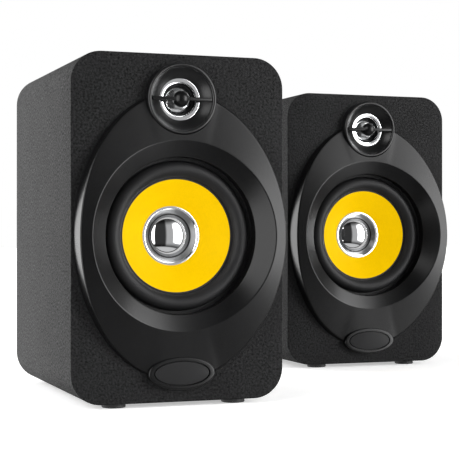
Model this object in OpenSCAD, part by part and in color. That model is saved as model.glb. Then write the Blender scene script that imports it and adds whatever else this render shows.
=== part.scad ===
// A pair of two-way bookshelf speakers: a powered main speaker and a passive satellite.
// Origin: on the floor, at the centre of the box around the pair and its link cable.
// +X to the right of a listener's view, +Y towards the back, +Z up. Millimetres.

/* [Pair] */
// Sideways distance between the cabinets' centres
pair_x = 228; // [170:1:320]
// How far the satellite stands behind the main speaker
pair_y = 192; // [0:1:260]

/* [Cabinet] */
// Width of a cabinet
cabinet_w = 144; // [142:1:170]
// Depth of a cabinet, without the bezel
cabinet_d = 174; // [160:1:220]
// Height of a cabinet, without its feet
cabinet_h = 225; // [225:1:240]
// Radius of the four long rounded edges
corner_r = 20; // [12:1:24]
// Thickness of the sides, top, bottom and back board
board = 9; // [6:1:10]
// Thickness of the front baffle
baffle = 15; // [12:1:18]
// Height of a rubber foot
foot_h = 3; // [2:0.5:6]

/* [Bezel] */
// Half width of the oval outline
oval_a = 69.5; // [66:0.5:71]
// Half height of the oval outline
oval_b = 93; // [88:0.5:94]
// Radius of the crest around the woofer dish
crest_r = 61.5; // [58:0.5:63]
// Height of the crest at its left and right
crest_side_h = 15; // [12:0.5:18]
// Height of the crest at its top and bottom
crest_end_h = 7.5; // [6:0.5:10]
// Fall of the outer slope for each millimetre outwards
slope = 0.18; // [0.1:0.01:0.2]

/* [Drivers] */
// Height of the woofer's axis above the floor
woofer_z = 110.5; // [108:0.5:112]
// Radius of the visible cone
cone_r = 36.8; // [34:0.2:38]
// Radius of the chrome dust cap's rim
cap_r = 19.5; // [17:0.5:22]
// Height of the tweeter's axis above the floor
tweeter_z = 198.8; // [198:0.1:199.5]
// Outer radius of the tweeter's horn ring
horn_r = 23.2; // [22:0.1:23.4]

/* [Hidden] */
$fn = 96;
gap = 0.05;          // running clearance of pins and shafts
eps = 0.01;          // overshoot of cutters
mid_z = foot_h + cabinet_h / 2;
cable_room = 45;     // floor depth kept for the link cable behind the satellite
pair_depth = crest_side_h + pair_y + cabinet_d + cable_room;
face_y = crest_side_h - pair_depth / 2;  // the main speaker's baffle face

// woofer heights, measured forwards from the baffle's face
rebate = 8;
landing_h = -6;      // front of the basket flange
flange_r = 58;
screw_circle_r = 54.5;
dish_r = 50.8;       // inner edge of the bezel's dish
dish_h = 4.5;
roll_r = 43.5;       // middle of the surround's roll
roll_w = 5;          // radius of that roll
cone_slope = 0.746;
former_r = 12.9;     // outside of the voice coil's former
cone_neck_h = cone_face(former_r);
spider_h = -28.5;
basket_base_h = -33;
plate_h = basket_base_h - 1.5;
magnet_h = plate_h - 5;
yoke_h = magnet_h - 12;

// Height of the cone's front at a radius
function cone_face(r) = landing_h - cone_slope * (cone_r - r);

// tweeter heights, measured forwards from the baffle's face
horn_lip_h = 6.7;
horn_ledge_h = -5.5;
throat_r = 13.8;
dome_r = 9.5;
dome_edge_h = -4.3;
bar_half = 20.1;
bar_h = 4.2;
bar_t = 2.2;
bullet_r = 5.4;
bullet_h = 3;

// rubber feet
foot_x = 41;
foot_inset = 12;
foot_r = 8;

// holes
tweeter_hole_r = 19;
screw_pilot_r = 1.55;
amp_opening = [104, 124];

// badge
badge_z = 22;
badge_a = 18.3;
badge_b = 7.6;
boss_a = 22.5;
boss_b = 10.8;
boss_h = 5.6;
badge_t = 1.8;
badge_gap = 0.7;

// rear of the main speaker, seen from behind: u to the right, v up from the floor
plate_w = 118;
plate_hgt = 140;
plate_v = 84;
plate_t = 2;
knob_v = 132;
knob_us = [-36, 0, 36];
jack_u = -34;
jack_v = 99;
jack_pitch = 14;
jack_r = 4.15;
term_u = 28;
term_v = 99;
sink_u = -16;
sink_v = 50;
rocker_u = 42;
rocker_v = 62;
rocker_rest = 10;
inlet_u = 42;
inlet_v = 30;
port_v = 187;
port_r = 17;
sat_term_v = 70;

// ---- places ----

// A speaker's own frame: baffle face at y = 0, floor at z = 0, x = 0 in the middle
module main() {
    translate([-pair_x / 2, face_y, 0]) children();
}

module satellite() {
    translate([pair_x / 2, face_y + pair_y, 0]) children();
}

// Both speakers
module each_speaker() {
    main() children();
    satellite() children();
}

// Local z runs forwards out of the baffle, local y up, from height z0
module facing_front(z0) {
    translate([0, 0, z0]) rotate([90, 0, 0]) children();
}

// Local z runs backwards out of the rear face, local x to the right as seen from behind
module facing_back(u = 0, v = 0) {
    translate([-u, cabinet_d, v]) rotate([90, 0, 180]) children();
}

// ---- shapes that repeat ----

module rounded_rect(w, h, r) {
    square([w - 2 * r, h], center = true);
    square([w, h - 2 * r], center = true);
    for (x = [-1, 1], y = [-1, 1])
        translate([x * (w / 2 - r), y * (h / 2 - r)]) circle(r);
}

// A ring from height h0 up to h1
module ring(r_out, r_in, h0, h1) {
    translate([0, 0, h0]) difference() {
        cylinder(r = r_out, h = h1 - h0);
        translate([0, 0, -1]) cylinder(r = r_in, h = h1 - h0 + 2);
    }
}

function ellipse(a, b, n = 72) = [for (i = [0 : n - 1]) [a * cos(360 * i / n), b * sin(360 * i / n)]];

function arc(centre, r, from, to, n = 8) =
    [for (i = [0 : n]) let (t = from + (to - from) * i / n) centre + r * [cos(t), sin(t)]];

// Faces of a closed tube of m rings of n points
function loop_faces(m, n) = [
    for (i = [0 : m - 1], j = [0 : n - 1]) let (p = (i + 1) % m, q = (j + 1) % n)
        each [[i * n + j, p * n + q, i * n + q], [i * n + j, p * n + j, p * n + q]]
];

// Pan-head screw with its head's underside at z = 0
module screw(head_r, head_h, shank_r, length) {
    difference() {
        cylinder(r = head_r, h = head_h);
        for (a = [0, 90])
            rotate(a) translate([-head_r / 2, -0.4, head_h - 1]) cube([head_r, 0.8, 2]);
    }
    translate([0, 0, -length]) cylinder(r = shank_r, h = length + eps);
}

// ---- cabinet ----

module woofer_screw_places() {
    for (a = [45 : 90 : 315]) rotate(a) translate([screw_circle_r, 0, landing_h]) children();
}

module cabinet() {
    difference() {
        facing_front(mid_z) difference() {
            translate([0, 0, -cabinet_d]) linear_extrude(cabinet_d)
                rounded_rect(cabinet_w, cabinet_h, corner_r);
            translate([0, 0, board - cabinet_d]) linear_extrude(cabinet_d - board - baffle)
                rounded_rect(cabinet_w - 2 * board, cabinet_h - 2 * board, corner_r - board);
        }
        facing_front(woofer_z) {
            translate([0, 0, -rebate]) cylinder(r = flange_r + 0.5, h = rebate + 1);
            translate([0, 0, -baffle - 1]) cylinder(r = dish_r - 0.3, h = baffle);
            woofer_screw_places() translate([0, 0, -11]) cylinder(r = 1.75, h = 12);
        }
        facing_front(tweeter_z) translate([0, 0, -baffle - 1]) cylinder(r = tweeter_hole_r, h = baffle + 2);
        facing_back(0, port_v) translate([0, 0, -board - 1]) cylinder(r = port_r + 2, h = board + 2);
    }
}

module main_cabinet() {
    color("#3a3a3c") difference() {
        main() cabinet();
        main() facing_back(0, plate_v) {
            translate([-amp_opening[0] / 2, -amp_opening[1] / 2, -board - 1])
                cube([amp_opening[0], amp_opening[1], board + 2]);
            plate_screw_places() translate([0, 0, -8]) cylinder(r = screw_pilot_r, h = 9);
        }
    }
}

module satellite_cabinet() {
    color("#3a3a3c") difference() {
        satellite() cabinet();
        satellite() facing_back(0, sat_term_v) terminal_cutout(screw_pilot_r);
    }
}

module rubber_feet() {
    color("#161616") each_speaker()
        for (x = [-foot_x, foot_x], y = [foot_inset, cabinet_d - foot_inset])
            translate([x, y, 0]) cylinder(r = foot_r, h = foot_h);
}

module port_tube() {
    tube_length = 90;
    wall = 2;
    rim = [8, 2.5];
    color("#1b1b1c") facing_back(0, port_v) rotate_extrude() difference() {
        union() {
            translate([port_r, -tube_length]) square([wall, tube_length + 1]);
            translate([port_r, 0]) square(rim);
        }
        translate([port_r, rim[1]]) rotate(45) square([3, 3], center = true);
    }
}

module wadding() {
    color("#d8d5cc") each_speaker() translate([-62.5, 45, 40]) cube([15, 100, 150]);
}

// ---- bezel ----

function oval_radius(t) = oval_a * oval_b / sqrt(pow(oval_b * cos(t), 2) + pow(oval_a * sin(t), 2));
function crest_height(t) = (crest_side_h + crest_end_h) / 2 + (crest_side_h - crest_end_h) / 2 * cos(2 * t);
function edge_height(t) = max(3, crest_height(t) - slope * (oval_radius(t) - crest_r));

// Section through the bezel's wall at angle t, as points [radius, height]
function bezel_section(t, skin = 2.2) = let (
    edge_r = oval_radius(t),
    edge_h = edge_height(t),
    crest_h = crest_height(t)
) [
    [dish_r + 0.2, -3.4],
    [dish_r, dish_h - 0.6],
    [dish_r + 0.6, dish_h],
    [dish_r + 0.55 * (crest_r - dish_r), dish_h + 0.62 * (crest_h - dish_h)],
    [crest_r - 0.8, crest_h - 0.3],
    [crest_r + 0.4, crest_h],
    [edge_r - 1.6, edge_h + 0.2],
    [edge_r - 0.4, edge_h - 0.8],
    [edge_r + 1, 0],
    [edge_r - 1.4, 0],
    [edge_r - 2.4, max(0.8, edge_h - skin)],
    [crest_r + 0.6, max(1, crest_h - skin)],
    [dish_r + 3, max(0.4, dish_h - skin)],
    [dish_r + 1.8, -3.4]
];

module bezel_shell(steps = 96) {
    n = len(bezel_section(0));
    points = [
        for (i = [0 : steps - 1]) let (t = 360 * i / steps)
            for (p = bezel_section(t)) [p[0] * cos(t), p[0] * sin(t), p[1]]
    ];
    polyhedron(points, loop_faces(steps, n), convexity = 8);
}

module bezel() {
    color("#1c1c1d") difference() {
        union() {
            facing_front(woofer_z) difference() {
                bezel_shell();
                translate([0, badge_z - woofer_z, -1]) linear_extrude(20)
                    polygon(ellipse(boss_a - 1, boss_b - 1));
            }
            facing_front(badge_z) linear_extrude(boss_h) polygon(ellipse(boss_a, boss_b));
        }
        facing_front(tweeter_z) translate([0, 0, -1]) cylinder(r = horn_r + 0.2, h = 30);
        facing_front(badge_z) translate([0, 0, boss_h - badge_t]) linear_extrude(5)
            polygon(ellipse(badge_a + badge_gap, badge_b + badge_gap));
    }
}

module badge() {
    color("#3c3c3d") facing_front(badge_z) translate([0, 0, boss_h - badge_t]) linear_extrude(badge_t)
        polygon(ellipse(badge_a, badge_b));
}

// ---- woofer ----

module woofer_basket() {
    wall = 1.6;
    flange_back = landing_h - 2;
    color("#2b2b2d") facing_front(woofer_z) difference() {
        rotate_extrude() polygon([
            [48.3, landing_h], [flange_r, landing_h], [flange_r, flange_back], [50, flange_back],
            [34, spider_h - 1.5], [31, plate_h], [14.5, plate_h], [14.5, plate_h + 1.5],
            [31 - wall, plate_h + 1.5], [34 - wall - 0.6, spider_h - 1.5], [30, spider_h - 1.5],
            [30, spider_h], [34 - wall / 2, spider_h], [48.3, flange_back]
        ]);
        for (i = [0 : 5]) rotate(60 * i) translate([30, -10, spider_h + 2]) cube([30, 20, 15]);
        woofer_screw_places() translate([0, 0, -5]) cylinder(r = 2, h = 6);
    }
}

module woofer_front_plate() {
    color("#8f9296") facing_front(woofer_z) ring(30, 14, magnet_h, plate_h);
}

module woofer_magnet() {
    color("#2a2a2c") facing_front(woofer_z) ring(33, 17, yoke_h, magnet_h);
}

module woofer_yoke() {
    color("#8f9296") facing_front(woofer_z) {
        translate([0, 0, yoke_h - 5]) cylinder(r = 30, h = 5);
        translate([0, 0, yoke_h - eps]) cylinder(r = 12.2, h = plate_h - yoke_h);
    }
}

module woofer_surround() {
    color("#121213") facing_front(woofer_z) rotate_extrude() {
        translate([roll_r, landing_h + 0.4]) difference() {
            circle(roll_w + 0.4);
            circle(roll_w - 0.4);
            translate([-10, -20.4]) square([20, 20]);
        }
        translate([roll_r + roll_w - 0.4, landing_h]) square([dish_r + 0.2 - roll_r - roll_w + 0.4, 0.8]);
        translate([cone_r, landing_h]) square([roll_r - roll_w + 0.4 - cone_r, 0.8]);
    }
}

module woofer_cone() {
    color("#fdcb00") facing_front(woofer_z) rotate_extrude() polygon([
        [38.3, landing_h],
        [cone_r, landing_h],
        [former_r, cone_neck_h],
        [former_r, cone_neck_h - 0.8],
        [cone_r + 0.1, landing_h - 0.8],
        [38.3, landing_h - 0.8]
    ]);
}

module dust_cap() {
    dome = 14;
    dome_h = -22;
    ball_r = 22;
    half = asin(dome / ball_r);
    ball_h = dome_h - ball_r * cos(half);
    rim_h = cone_face(cap_r);
    color("#d4d6d8") facing_front(woofer_z) rotate_extrude() polygon(concat(
        [[cap_r, rim_h], [cap_r, rim_h + 0.5], [cap_r - 0.4, rim_h + 0.9], [cap_r - 0.9, rim_h + 0.4]],
        [[dome + 0.2, dome_h]],
        arc([0, ball_h], ball_r, 90 - half, 90, 16),
        arc([0, ball_h], ball_r - 0.7, 90, 91.5 - half, 16),
        [[dome - 0.2, cone_face(dome - 0.2)]]
    ));
}

module voice_coil() {
    color("#b5723a") facing_front(woofer_z) {
        ring(former_r, former_r - 0.3, cone_neck_h - 20, cone_neck_h);
        ring(former_r + 0.5, former_r - eps, cone_neck_h - 20, plate_h + 2);
    }
}

module spider() {
    radii = [for (i = [0 : 32]) former_r + 1.6 + i * (30 - former_r - 1.6) / 32];
    top = [for (r = radii) [r, spider_h + 0.6 + 0.8 * sin(360 * (r - former_r) / 4.2)]];
    color("#b98d4f") facing_front(woofer_z) rotate_extrude() polygon(concat(
        [[former_r, spider_h + 0.6]], top, [[33, spider_h + 0.6], [33, spider_h]],
        [for (i = [32 : -1 : 0]) top[i] - [0, 0.5]], [[former_r, spider_h]]
    ));
}

module woofer_screws() {
    color("#404244") each_speaker() facing_front(woofer_z)
        woofer_screw_places() screw(3.2, 2.3, 1.7, 10);
}

// ---- tweeter ----

module tweeter_horn() {
    lip_r = 1.35;
    lip_h = horn_lip_h - lip_r;
    bowl = [horn_r - 2 * lip_r - throat_r, lip_h];
    bend = 13.5;     // degrees the bowl curves to each side of its chord
    bowl_r = norm(bowl) / (2 * sin(bend));
    rise = atan2(bowl[1], bowl[0]);
    centre = [throat_r, 0] + bowl_r * [-sin(rise - bend), cos(rise - bend)];
    color("#1a1a1b") facing_front(tweeter_z) difference() {
        rotate_extrude() polygon(concat(
            [[horn_r, 0]],
            arc([horn_r - lip_r, lip_h], lip_r, 0, 180, 10),
            arc(centre, bowl_r, rise + bend - 90, rise - bend - 90),
            [[throat_r, -2], [11.9, -2], [11.9, horn_ledge_h], [17, horn_ledge_h]],
            [[17, -12], [18.9, -12], [18.9, 0]]
        ));
        translate([-bar_half, -bar_t / 2, bar_h]) cube([2 * bar_half, bar_t, 2]);
    }
}

module tweeter_ring() {
    color("#e2e4e6") facing_front(tweeter_z) rotate_extrude() polygon([
        [10.8, -2], [throat_r, -2], [throat_r, -0.4], [throat_r - 0.5, 0], [11.7, -0.3], [10.8, -1.2]
    ]);
}

module tweeter_dome() {
    dome_rise = 3.1;
    sphere_r = (dome_r * dome_r + dome_rise * dome_rise) / (2 * dome_rise);
    sphere_h = dome_edge_h + dome_rise - sphere_r;
    half_angle = asin(dome_r / sphere_r);
    color("#c9ccd0") facing_front(tweeter_z) {
        rotate_extrude() polygon(concat(
            arc([0, sphere_h], sphere_r, 90 - half_angle, 90, 12),
            arc([0, sphere_h], sphere_r - 0.4, 90, 90 - half_angle + 1, 12),
            [[dome_r - 0.4, dome_edge_h - 0.8], [dome_r, dome_edge_h - 0.8]]
        ));
        ring(11.5, dome_r - eps, dome_edge_h - 0.4, dome_edge_h);
        ring(dome_r, dome_r - 0.3, dome_edge_h - 5, dome_edge_h - 0.7);
    }
}

module tweeter_bridge() {
    color("#171718") facing_front(tweeter_z) {
        translate([-bar_half, -bar_t / 2, bar_h]) cube([2 * bar_half, bar_t, 2]);
        intersection() {
            translate([0, 0, bullet_h]) sphere(bullet_r);
            translate([-10, -10, -0.3]) cube([20, 20, 20]);
        }
    }
}

module tweeter_motor() {
    color("#86898c") facing_front(tweeter_z) {
        ring(16.5, 10.1, horn_ledge_h - 2.5, horn_ledge_h);
        ring(16, 11.5, horn_ledge_h - 7.5, horn_ledge_h - 2.5 + eps);
        translate([0, 0, horn_ledge_h - 9.5]) cylinder(r = 16.5, h = 2 + eps);
        translate([0, 0, horn_ledge_h - 8]) cylinder(r = 9, h = 8);
    }
}

module tweeter_capacitors() {
    color("#b3432e") each_speaker() translate([42, 60, foot_h + board]) {
        translate([0, 0, 6]) rotate([-90, 0, 0]) cylinder(r = 6, h = 24);
        translate([-4, 3, 0]) cube([8, 18, 2]);
    }
}

// ---- rear of the main speaker ----

module plate_screw_places() {
    for (u = [-1, 1], v = [-1, 0, 1])
        translate([u * (plate_w / 2 - 3.5), v * (plate_hgt / 2 - 4), 0]) children();
}

module amp_plate() {
    color("#232325") main() difference() {
        facing_back(0, plate_v) linear_extrude(plate_t) rounded_rect(plate_w, plate_hgt, 4);
        facing_back(0, plate_v) plate_screw_places() translate([0, 0, -1]) cylinder(r = 1.7, h = 4);
        for (u = knob_us) facing_back(u, knob_v) translate([0, 0, -1]) cylinder(r = 3.6, h = 4);
        for (s = [-1, 1]) facing_back(jack_u + s * jack_pitch / 2, jack_v)
            translate([0, 0, -1]) cylinder(r = 5.1, h = 4);
        facing_back(term_u, term_v) terminal_cutout(1.7);
        facing_back(rocker_u, rocker_v) translate([-7, -10, -1]) cube([14, 20, 4]);
        facing_back(inlet_u, inlet_v) translate([-10.2, -6.2, -1]) cube([20.4, 12.4, 4]);
    }
}

module heat_sink() {
    fins = 10;
    width = 74;
    color("#9a9da1") main() facing_back(sink_u, sink_v) translate([0, 0, plate_t]) {
        translate([-width / 2, -23, 0]) cube([width, 46, 3]);
        for (i = [0 : fins - 1])
            translate([-width / 2 + i * (width - 2) / (fins - 1), -23, 0]) cube([2, 46, 15]);
    }
}

module amp_board() {
    color("#2f6b3c") main() facing_back(0, 0) difference() {
        union() {
            translate([-46, 72, -16]) cube([92, 76, 1.6]);
            for (u = knob_us) translate([u, knob_v, -15]) {
                cylinder(r = 8, h = 13);
                cylinder(r = 3.5, h = 15 + plate_t + 1);
            }
            for (i = [0 : 4]) translate([-30 + 14 * i, 82, -34]) cylinder(r = 5, h = 19);
        }
        for (u = knob_us) translate([u, knob_v, -12]) cylinder(r = 3 + gap, h = 30);
    }
}

module transformer() {
    color("#7d5a3a") main() translate([-42, 96, foot_h + board]) {
        cube([40, 34, 3]);
        translate([3, 6, 0]) cube([34, 22, 34]);
        translate([9, 0, 6]) cube([22, 34, 22]);
    }
}

// Control knob pushed onto its potentiometer's shaft, its pointer turned left by start degrees
module knob(u, start) {
    color("#1b1b1d") main() facing_back(u, knob_v) rotate(start) {
        difference() {
            union() {
                translate([0, 0, plate_t + 1.5]) cylinder(r = 8, h = 2);
                translate([0, 0, plate_t + 3.4]) cylinder(r1 = 7.4, r2 = 6.8, h = 11);
            }
            translate([0, 0, plate_t]) cylinder(r = 3.02, h = 9);
            translate([0, 0, plate_t]) cylinder(r = 4.2, h = 3.2);
            translate([-0.6, 1.5, plate_t + 13.6]) cube([1.2, 8, 4]);
        }
        translate([0, 0, -11]) cylinder(r = 3, h = plate_t + 19.8);
    }
}

// Rocker's side profile: a round-backed bar with a shallow V on top
module rocker_profile() {
    difference() {
        circle(7.6);
        translate([-10, -25]) square([20, 20]);
        polygon([[0, 1.2], [-12, 3.7], [-12, 12], [12, 12], [12, 3.7]]);
    }
}

module power_rocker() {
    color("#101011") main() facing_back(rocker_u, rocker_v)
    translate([0, 0, plate_t]) rotate([rocker_rest, 0, 0]) {
        rotate([90, 0, 90]) translate([0, 0, -5.2]) linear_extrude(10.4) rocker_profile();
        rotate([0, 90, 0]) translate([0, 0, -6.2]) cylinder(r = 1, h = 12.4);
    }
}

module rocker_housing() {
    color("#1d1d1f") main() facing_back(rocker_u, rocker_v) difference() {
        union() {
            translate([-8.5, -11.5, plate_t]) cube([17, 23, 1.5]);
            translate([-7, -10, -12]) cube([14, 20, 12 + plate_t + eps]);
        }
        translate([-5.4, -7.9, -7]) cube([10.8, 15.8, 20]);
        translate([-6.3, 0, plate_t]) rotate([0, 90, 0]) cylinder(r = 1 + gap, h = 12.6);
    }
}

module mains_inlet() {
    color("#18181a") main() facing_back(inlet_u, inlet_v) {
        difference() {
            union() {
                translate([-12.5, -8, plate_t]) cube([25, 16, 1.5]);
                translate([-10, -6, -16]) cube([20, 12, 18 + eps]);
            }
            for (s = [-1, 1]) translate([4 * s, 0, -10]) cylinder(r = 4.2, h = 20);
            translate([-4, -4.2, -10]) cube([8, 8.4, 20]);
        }
        for (s = [-1, 1]) translate([4 * s, 0, -11]) cylinder(r = 1.2, h = 11);
    }
}

module input_jacks() {
    color("#c9a64a") main() facing_back(jack_u, jack_v) {
        translate([-14, -8, -14]) cube([28, 16, 13.9]);
        for (s = [-1, 1]) translate([s * jack_pitch / 2, 0, 0]) difference() {
            union() {
                translate([0, 0, -1]) cylinder(r = 5, h = plate_t + 2);
                cylinder(r = jack_r, h = plate_t + 10);
            }
            translate([0, 0, plate_t]) cylinder(r = 1.6, h = 10);
        }
    }
}

// ---- spring terminals ----

lever_pitch = 15;
block_screw_u = 20;          // screws left and right of a block's middle
lever_pivot_v = 1.8;
lever_pivot_out = 9;

module terminal_cutout(hole_r) {
    translate([-15, -9, -20]) cube([30, 18, 30]);
    for (s = [-1, 1]) translate([s * block_screw_u, 0, -8]) cylinder(r = hole_r, h = 20);
}

module terminal_block(out) {
    color("#1c1c1e") translate([0, 0, out]) difference() {
        union() {
            translate([-23, -13, 0]) cube([46, 26, 2]);
            translate([-17, -11.5, 0]) cube([34, 23, block_h]);
            translate([-14.5, -8.5, -11]) cube([29, 17, 11 + eps]);
        }
        for (s = [-1, 1]) {
            translate([s * lever_pitch / 2 - 4.6, 0.4, 1]) cube([9.2, 9.8, 20]);
            translate([s * lever_pitch / 2, -6, 3]) cylinder(r = 1.8, h = 20);
            translate([s * block_screw_u, 0, -1]) cylinder(r = 1.7, h = 5);
        }
        translate([-15.6, lever_pivot_v, lever_pivot_out]) rotate([0, 90, 0])
            cylinder(r = 0.8 + gap, h = 31.2);
    }
}

// A lever's side profile is drawn as [up, outwards]
module lever(side, out) {
    translate([side * lever_pitch / 2, 0, out]) {
        rotate([90, 0, 90]) translate([0, 0, -4.4]) linear_extrude(8.8)
            polygon([[0.9, 8], [2.6, 7.6], [8.6, 8.6], [8.8, 13.2], [7.8, 14], [1, 10.6]]);
        translate([-5.6, lever_pivot_v, lever_pivot_out]) rotate([0, 90, 0]) cylinder(r = 0.8, h = 11.2);
    }
}

module main_lever(side, tint) {
    color(tint) main() facing_back(term_u, term_v) lever(side, plate_t);
}

module satellite_lever(side, tint) {
    color(tint) satellite() facing_back(0, sat_term_v) lever(side, 0);
}

module rear_screws() {
    color("#55585b") {
        main() facing_back(0, plate_v) plate_screw_places() translate([0, 0, plate_t])
            screw(2.9, 1.8, 1.5, 9);
        main() facing_back(term_u, term_v) block_screws(plate_t);
        satellite() facing_back(0, sat_term_v) block_screws(0);
    }
}

module block_screws(out) {
    for (s = [-1, 1]) translate([s * block_screw_u, 0, out + 2]) screw(2.8, 1.8, 1.5, 8);
}

// ---- link cable ----

function bezier(p, t) =
    pow(1 - t, 3) * p[0] + 3 * pow(1 - t, 2) * t * p[1] + 3 * (1 - t) * t * t * p[2] + t * t * t * p[3];

cable_r = 2;
bead_r = cable_r / cos(15);   // a 12-sided bead reaches cable_r on its axes
cable_floor = cable_r + 0.2;
block_h = 11;                 // a terminal block's height
cable_start = [-pair_x / 2 - term_u, face_y + cabinet_d + plate_t + block_h + bead_r + gap, term_v - 6];
cable_end = [pair_x / 2, face_y + pair_y + cabinet_d + block_h + bead_r + gap, sat_term_v - 6];
cable_down = [cable_start[0] + 30, cable_start[1] + 22, cable_floor];
cable_back = [pair_x / 2 - 45, pair_depth / 2 - cable_r, cable_floor];
cable_reach = [pair_x * 0.35, 0, 0];
cable_path = concat(
    [for (i = [0 : 7])
        bezier([cable_start, cable_start + [0, 22, 0], cable_down - [24, 0, 0], cable_down], i / 8)],
    [for (i = [0 : 9])
        bezier([cable_down, cable_down + cable_reach, cable_back - cable_reach, cable_back], i / 10)],
    [for (i = [0 : 8])
        bezier([cable_back, cable_back + [50, 0, 0], cable_end + [0, 24, -30], cable_end], i / 8)]
);

module link_cable() {
    color("#202022") for (i = [0 : len(cable_path) - 2]) hull() {
        translate(cable_path[i]) sphere(bead_r, $fn = 12);
        translate(cable_path[i + 1]) sphere(bead_r, $fn = 12);
    }
}

// ---- parts ----

main_cabinet();
main() bezel();  // main_bezel
main() badge();  // main_badge
main() woofer_basket();  // main_woofer_basket
main() woofer_front_plate();  // main_woofer_front_plate
main() woofer_magnet();  // main_woofer_magnet
main() woofer_yoke();  // main_woofer_yoke
main() woofer_surround();  // main_woofer_surround
main() woofer_cone();  // main_woofer_cone
main() dust_cap();  // main_dust_cap
main() voice_coil();  // main_voice_coil
main() spider();  // main_spider
main() tweeter_horn();  // main_tweeter_horn
main() tweeter_ring();  // main_tweeter_ring
main() tweeter_dome();  // main_tweeter_dome
main() tweeter_bridge();  // main_tweeter_bridge
main() tweeter_motor();  // main_tweeter_motor
main() port_tube();  // main_port_tube
satellite_cabinet();
satellite() bezel();  // satellite_bezel
satellite() badge();  // satellite_badge
satellite() woofer_basket();  // satellite_woofer_basket
satellite() woofer_front_plate();  // satellite_woofer_front_plate
satellite() woofer_magnet();  // satellite_woofer_magnet
satellite() woofer_yoke();  // satellite_woofer_yoke
satellite() woofer_surround();  // satellite_woofer_surround
satellite() woofer_cone();  // satellite_woofer_cone
satellite() dust_cap();  // satellite_dust_cap
satellite() voice_coil();  // satellite_voice_coil
satellite() spider();  // satellite_spider
satellite() tweeter_horn();  // satellite_tweeter_horn
satellite() tweeter_ring();  // satellite_tweeter_ring
satellite() tweeter_dome();  // satellite_tweeter_dome
satellite() tweeter_bridge();  // satellite_tweeter_bridge
satellite() tweeter_motor();  // satellite_tweeter_motor
satellite() port_tube();  // satellite_port_tube
woofer_screws();
rear_screws();
rubber_feet();
wadding();
tweeter_capacitors();
amp_plate();
heat_sink();
amp_board();
transformer();
knob(knob_us[0], 150);  // volume_knob
knob(knob_us[1], 0);  // treble_knob
knob(knob_us[2], 0);  // bass_knob
power_rocker();
rocker_housing();
mains_inlet();
input_jacks();
main() facing_back(term_u, term_v) terminal_block(plate_t);  // main_terminal_block
main_lever(-1, "#b3201c");  // main_red_lever
main_lever(1, "#151516");  // main_black_lever
satellite() facing_back(0, sat_term_v) terminal_block(0);  // satellite_terminal_block
satellite_lever(-1, "#b3201c");  // satellite_red_lever
satellite_lever(1, "#151516");  // satellite_black_lever
link_cable();
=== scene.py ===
"""Looks for a pair of desktop speakers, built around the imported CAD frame.

Small sizes are written in millimetres and turned into metres with MM. Heights called h are
measured forwards from a baffle's face, and w backwards from a rear face.
"""
from math import asin, atan2, cos, degrees, hypot, pi, radians, sin, tan

import bmesh
import bpy
import numpy as np
from mathutils import Matrix, Vector, noise

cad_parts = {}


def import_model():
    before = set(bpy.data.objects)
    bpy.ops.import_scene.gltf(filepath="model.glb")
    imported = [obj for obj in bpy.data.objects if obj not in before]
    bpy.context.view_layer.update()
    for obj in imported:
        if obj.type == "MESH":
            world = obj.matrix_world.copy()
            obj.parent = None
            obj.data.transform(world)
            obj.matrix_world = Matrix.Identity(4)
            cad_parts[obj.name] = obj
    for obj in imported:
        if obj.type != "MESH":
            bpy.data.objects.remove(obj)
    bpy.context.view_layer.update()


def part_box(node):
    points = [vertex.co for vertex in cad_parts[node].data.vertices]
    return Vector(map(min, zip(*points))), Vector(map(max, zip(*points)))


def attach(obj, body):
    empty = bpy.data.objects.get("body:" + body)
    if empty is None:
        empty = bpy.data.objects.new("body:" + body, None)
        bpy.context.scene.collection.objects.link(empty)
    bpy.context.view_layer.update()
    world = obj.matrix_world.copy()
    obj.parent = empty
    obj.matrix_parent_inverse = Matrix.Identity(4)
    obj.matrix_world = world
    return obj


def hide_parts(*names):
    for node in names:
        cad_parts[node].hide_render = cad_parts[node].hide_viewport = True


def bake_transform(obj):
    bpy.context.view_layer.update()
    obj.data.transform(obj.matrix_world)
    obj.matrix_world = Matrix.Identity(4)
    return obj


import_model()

MM = 0.001
SIDES = ("main", "satellite")


# ---- the frame's places

def node_middle(node):
    low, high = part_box(node)
    return (low + high) / 2


class Speaker:
    """Where one speaker stands, read from its CAD nodes."""

    def __init__(self, side):
        self.side = side
        self.low, self.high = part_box(side + "_cabinet")
        self.x = self.middle("cabinet").x
        self.woofer_z = self.middle("woofer_magnet").z
        self.woofer = self.front(self.woofer_z)
        self.tweeter_z = self.middle("tweeter_motor").z
        self.badge_z = self.middle("badge").z
        self.port_z = self.middle("port_tube").z

    def middle(self, part):
        return node_middle(self.side + "_" + part)

    def front(self, z):
        """Matrix whose local z runs forwards out of the baffle, local y up, at height z, in mm."""
        turn = Matrix(((1, 0, 0), (0, 0, -1), (0, 1, 0)))
        return self.matrix(turn, Vector((self.x, self.low.y, z)))

    def rear(self, u, z, w=0.0):
        """Matrix whose local z runs backwards out of the rear face, local x right as seen from behind."""
        turn = Matrix(((-1, 0, 0), (0, 0, 1), (0, 1, 0)))
        return self.matrix(turn, Vector((self.x - u * MM, self.high.y + w * MM, z)))

    @staticmethod
    def matrix(turn, place):
        return Matrix.Translation(place) @ turn.to_4x4() @ Matrix.Scale(MM, 4)


speakers = main, satellite = [Speaker(side) for side in SIDES]


# ---- outlines and profiles

def moved(at, x, y, z=0.0):
    return at @ Matrix.Translation((x, y, z))


def eased(share):
    """Bends a straight run from 0 to 1 so that it starts and ends gently."""
    return share * share * (3 - 2 * share)


def arc(cx, cy, radius, start, end, steps):
    """Points on an arc, angles in degrees."""
    turns = [radians(start + (end - start) * i / steps) for i in range(steps + 1)]
    return [(cx + radius * cos(t), cy + radius * sin(t)) for t in turns]


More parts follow.
